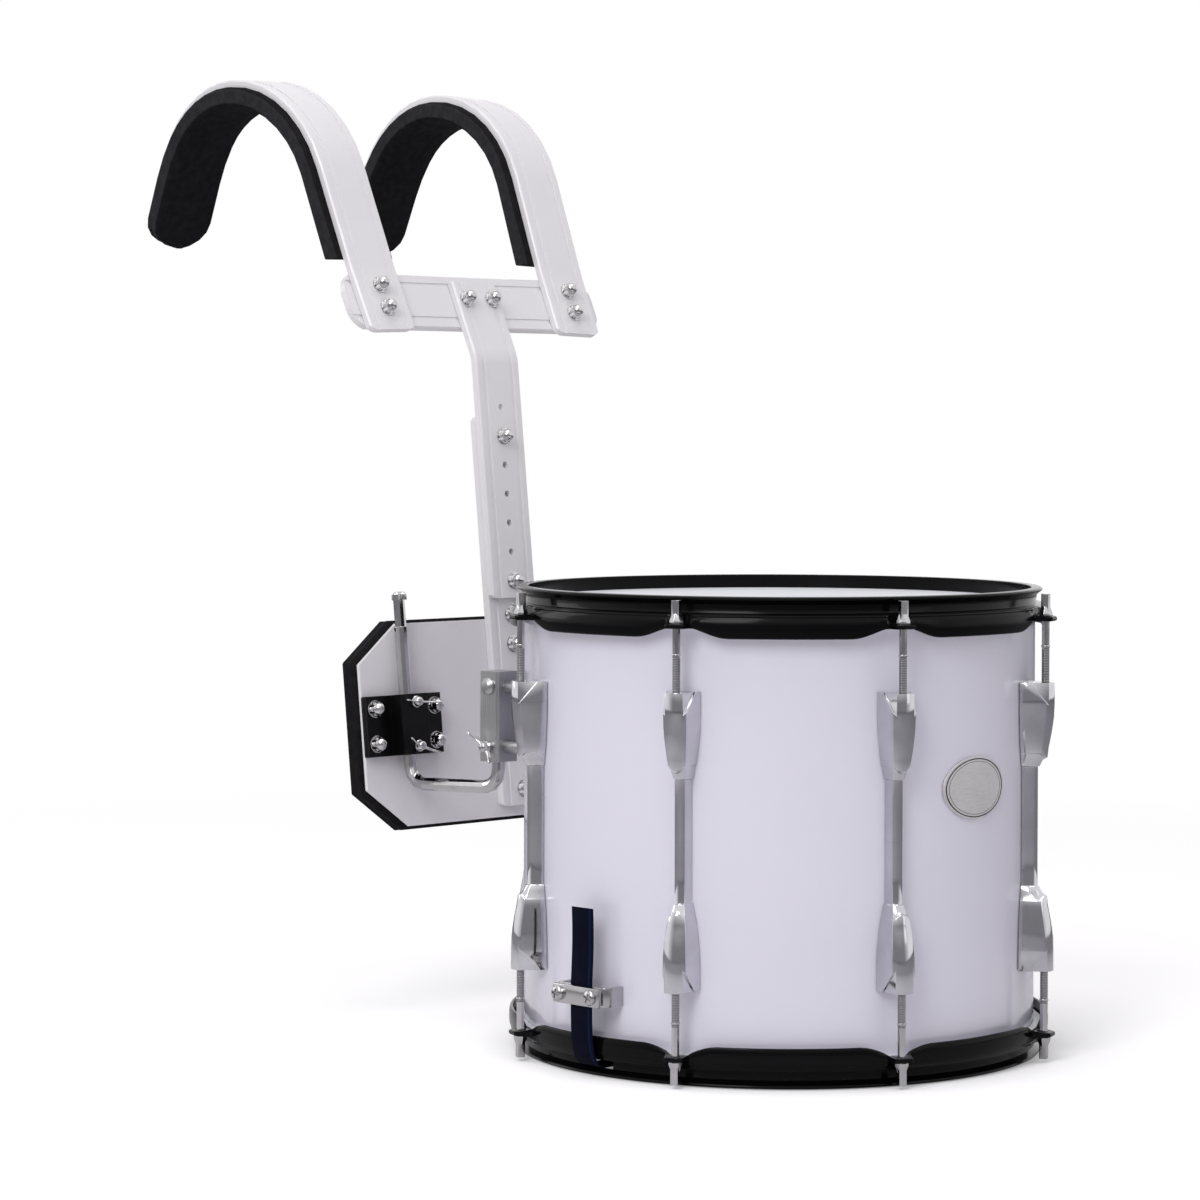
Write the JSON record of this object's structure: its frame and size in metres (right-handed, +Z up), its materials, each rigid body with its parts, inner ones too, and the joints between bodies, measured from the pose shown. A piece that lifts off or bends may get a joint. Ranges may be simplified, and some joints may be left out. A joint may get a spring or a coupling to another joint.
{
  "type": "marching snare drum",
  "caption": "Marching snare drum on a shoulder carrier: white shell, black rims, chrome lugs, and padded hooks over the shoulders with a belly plate.",
  "frame": {"origin": "middle of the box around the part, on the plane of the lower rim that the drum stands on", "axes": "+Z up along the drum's axis; +Y forward, away from the player; +X to the player's right, where the ribbon clamp is"},
  "size_m": [0.41, 0.7466, 0.6946],
  "materials": {
    "shell_lacquer": "gloss",
    "drum_film": "matte",
    "black_paint": "gloss",
    "chrome_plate": "polished",
    "badge_plate": "satin",
    "ribbon": "matte",
    "snare_wire": "satin",
    "knob_plastic": "satin",
    "receiver_block": "satin",
    "white_coat": "satin",
    "clamp_paint": "satin",
    "foam": "matte"
  },
  "bodies": {
    "drum": {"drum_shell": "shell_lacquer", "batter_head": "drum_film", "resonant_head": "drum_film", "top_hoop": "black_paint", "bottom_hoop": "black_paint", "lug_1": "chrome_plate", "upper_tension_rod_1": "chrome_plate", "lower_tension_rod_1": "chrome_plate", "lug_2": "chrome_plate", "upper_tension_rod_2": "chrome_plate", "lower_tension_rod_2": "chrome_plate", "lug_3": "chrome_plate", "upper_tension_rod_3": "chrome_plate", "lower_tension_rod_3": "chrome_plate", "lug_4": "chrome_plate", "upper_tension_rod_4": "chrome_plate", "lower_tension_rod_4": "chrome_plate", "lug_5": "chrome_plate", "upper_tension_rod_5": "chrome_plate", "lower_tension_rod_5": "chrome_plate", "lug_6": "chrome_plate", "upper_tension_rod_6": "chrome_plate", "lower_tension_rod_6": "chrome_plate", "lug_7": "chrome_plate", "upper_tension_rod_7": "chrome_plate", "lower_tension_rod_7": "chrome_plate", "lug_8": "chrome_plate", "upper_tension_rod_8": "chrome_plate", "lower_tension_rod_8": "chrome_plate", "badge": "badge_plate", "ribbon_clamp": "chrome_plate", "snare_ribbon": "ribbon", "snare_wires": "snare_wire", "receiver_right": "receiver_block", "receiver_left": "receiver_block", "strainer_ribbon": "ribbon", "throw_off_base": "chrome_plate"},
    "throw_off_lever": {"throw_off_lever": "chrome_plate"},
    "tension_knob": {"snare_tension_knob": "knob_plastic"},
    "j_rods": {"j_rod_right": "chrome_plate", "j_rod_left": "chrome_plate"},
    "receiver_bolt_right": {"receiver_wing_bolt_right": "chrome_plate"},
    "clamp_screw_right_upper": {"wing_screw_right_upper": "chrome_plate"},
    "clamp_screw_right_lower": {"wing_screw_right_lower": "chrome_plate"},
    "receiver_bolt_left": {"receiver_wing_bolt_left": "chrome_plate"},
    "clamp_screw_left_upper": {"wing_screw_left_upper": "chrome_plate"},
    "clamp_screw_left_lower": {"wing_screw_left_lower": "chrome_plate"},
    "carrier": {"rear_post": "white_coat", "t_bar": "white_coat", "belly_plate": "white_coat", "belly_pad": "foam", "crossbar": "white_coat", "shoulder_hook_right": "white_coat", "shoulder_pad_right": "foam", "shoulder_hook_left": "white_coat", "shoulder_pad_left": "foam", "clamp_base_right": "clamp_paint", "clamp_cover_right": "clamp_paint", "clamp_base_left": "clamp_paint", "clamp_cover_left": "clamp_paint"}
  },
  "joints": [
    {"name": "rods_slide", "type": "slide", "parent": "drum", "child": "j_rods", "axis": [0, 0, -1], "range_m": [0, 0.045]},
    {"name": "carrier_slide", "type": "slide", "parent": "j_rods", "child": "carrier", "axis": [0, -0.108, 0.9942], "range_m": [-0.005, 0.04]},
    {"name": "throw_off_hinge", "type": "hinge", "parent": "drum", "child": "throw_off_lever", "pos_m": [-0.1961, 0.18532, 0.088], "axis": [0, -1, 0], "range_deg": [0, 85]},
    {"name": "knob_turn", "type": "hinge", "parent": "drum", "child": "tension_knob", "pos_m": [-0.1863, 0.18532, 0.1043], "axis": [0, 0, 1], "continuous": true},
    {"name": "receiver_bolt_right_turn", "type": "hinge", "parent": "drum", "child": "receiver_bolt_right", "pos_m": [0.1233, 0.01994, 0.2045], "axis": [1, 0, 0], "continuous": true},
    {"name": "clamp_screw_right_upper_turn", "type": "hinge", "parent": "carrier", "child": "clamp_screw_right_upper", "pos_m": [0.113, -0.06946, 0.23103], "axis": [0, 0.9942, 0.108], "continuous": true},
    {"name": "clamp_screw_right_lower_turn", "type": "hinge", "parent": "carrier", "child": "clamp_screw_right_lower", "pos_m": [0.113, -0.06601, 0.19922], "axis": [0, 0.9942, 0.108], "continuous": true},
    {"name": "receiver_bolt_left_turn", "type": "hinge", "parent": "drum", "child": "receiver_bolt_left", "pos_m": [-0.1233, 0.01994, 0.2045], "axis": [-1, 0, 0], "continuous": true},
    {"name": "clamp_screw_left_upper_turn", "type": "hinge", "parent": "carrier", "child": "clamp_screw_left_upper", "pos_m": [-0.113, -0.06946, 0.23103], "axis": [0, 0.9942, 0.108], "continuous": true},
    {"name": "clamp_screw_left_lower_turn", "type": "hinge", "parent": "carrier", "child": "clamp_screw_left_lower", "pos_m": [-0.113, -0.06601, 0.19922], "axis": [0, 0.9942, 0.108], "continuous": true}
  ]
}
